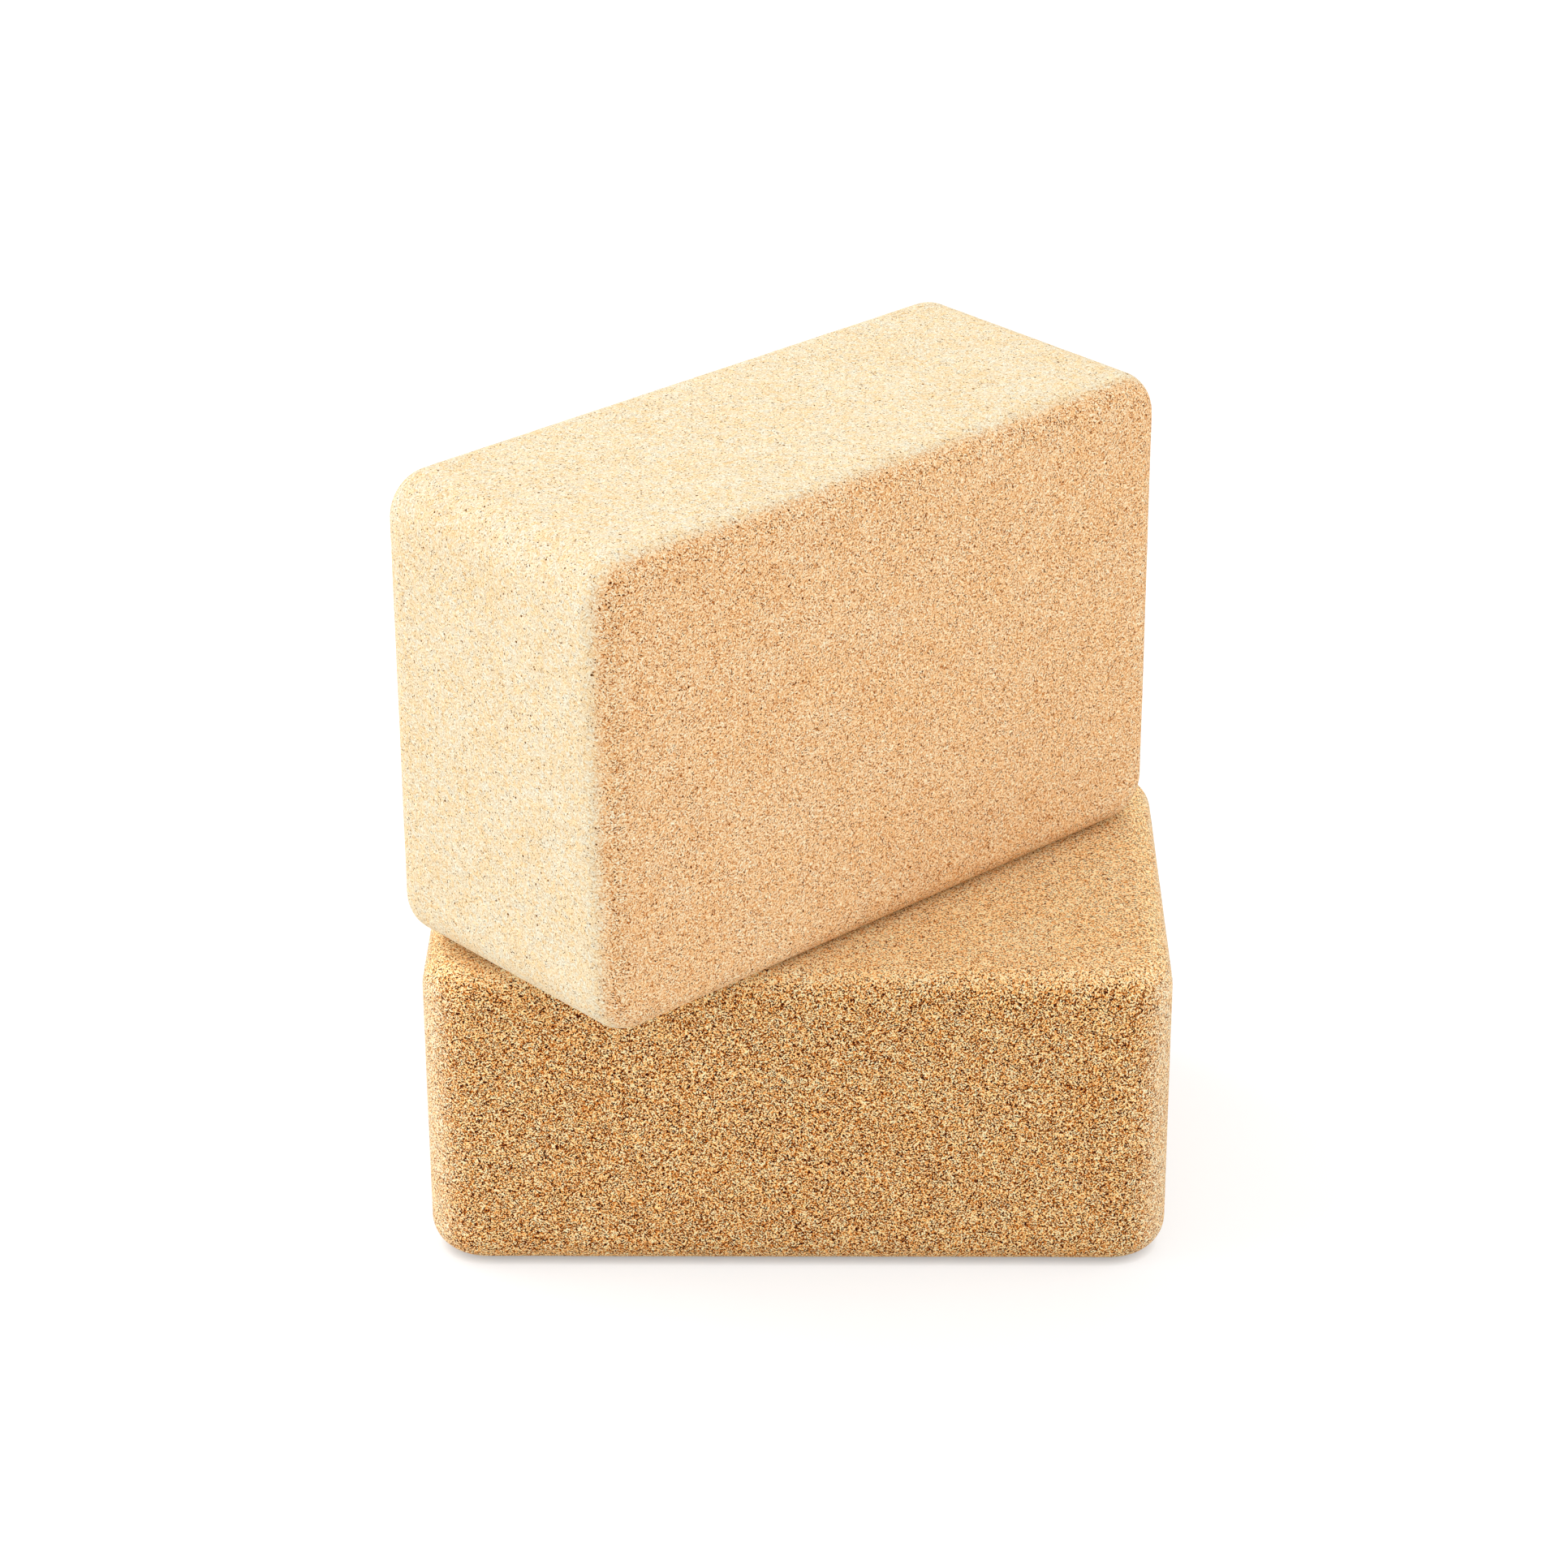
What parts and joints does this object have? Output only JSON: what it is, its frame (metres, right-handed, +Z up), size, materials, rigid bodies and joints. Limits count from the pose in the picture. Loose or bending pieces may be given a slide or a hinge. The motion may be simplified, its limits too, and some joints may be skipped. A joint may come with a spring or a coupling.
{
  "type": "yoga block",
  "caption": "Rounded rectangular cork yoga blocks stacked crosswise: a block lying flat carries a block on edge that lifts off. Firm support for hands, hips or back.",
  "frame": {"origin": "centre of the lower block's underside, on the floor", "axes": "+X along the lower block's length, +Y along its width and away from the viewer, +Z up"},
  "size_m": [0.2334, 0.222, 0.254],
  "materials": {
    "cork": "pressed cork granules, sanded matt"
  },
  "bodies": {
    "lower_block": {"lower_block": "cork"},
    "upper_block": {"upper_block": "cork"}
  },
  "joints": [
    {"name": "upper_block_lift", "type": "slide", "parent": "lower_block", "child": "upper_block", "axis": [0, 0, 1], "range_m": [0, 0.2]}
  ]
}
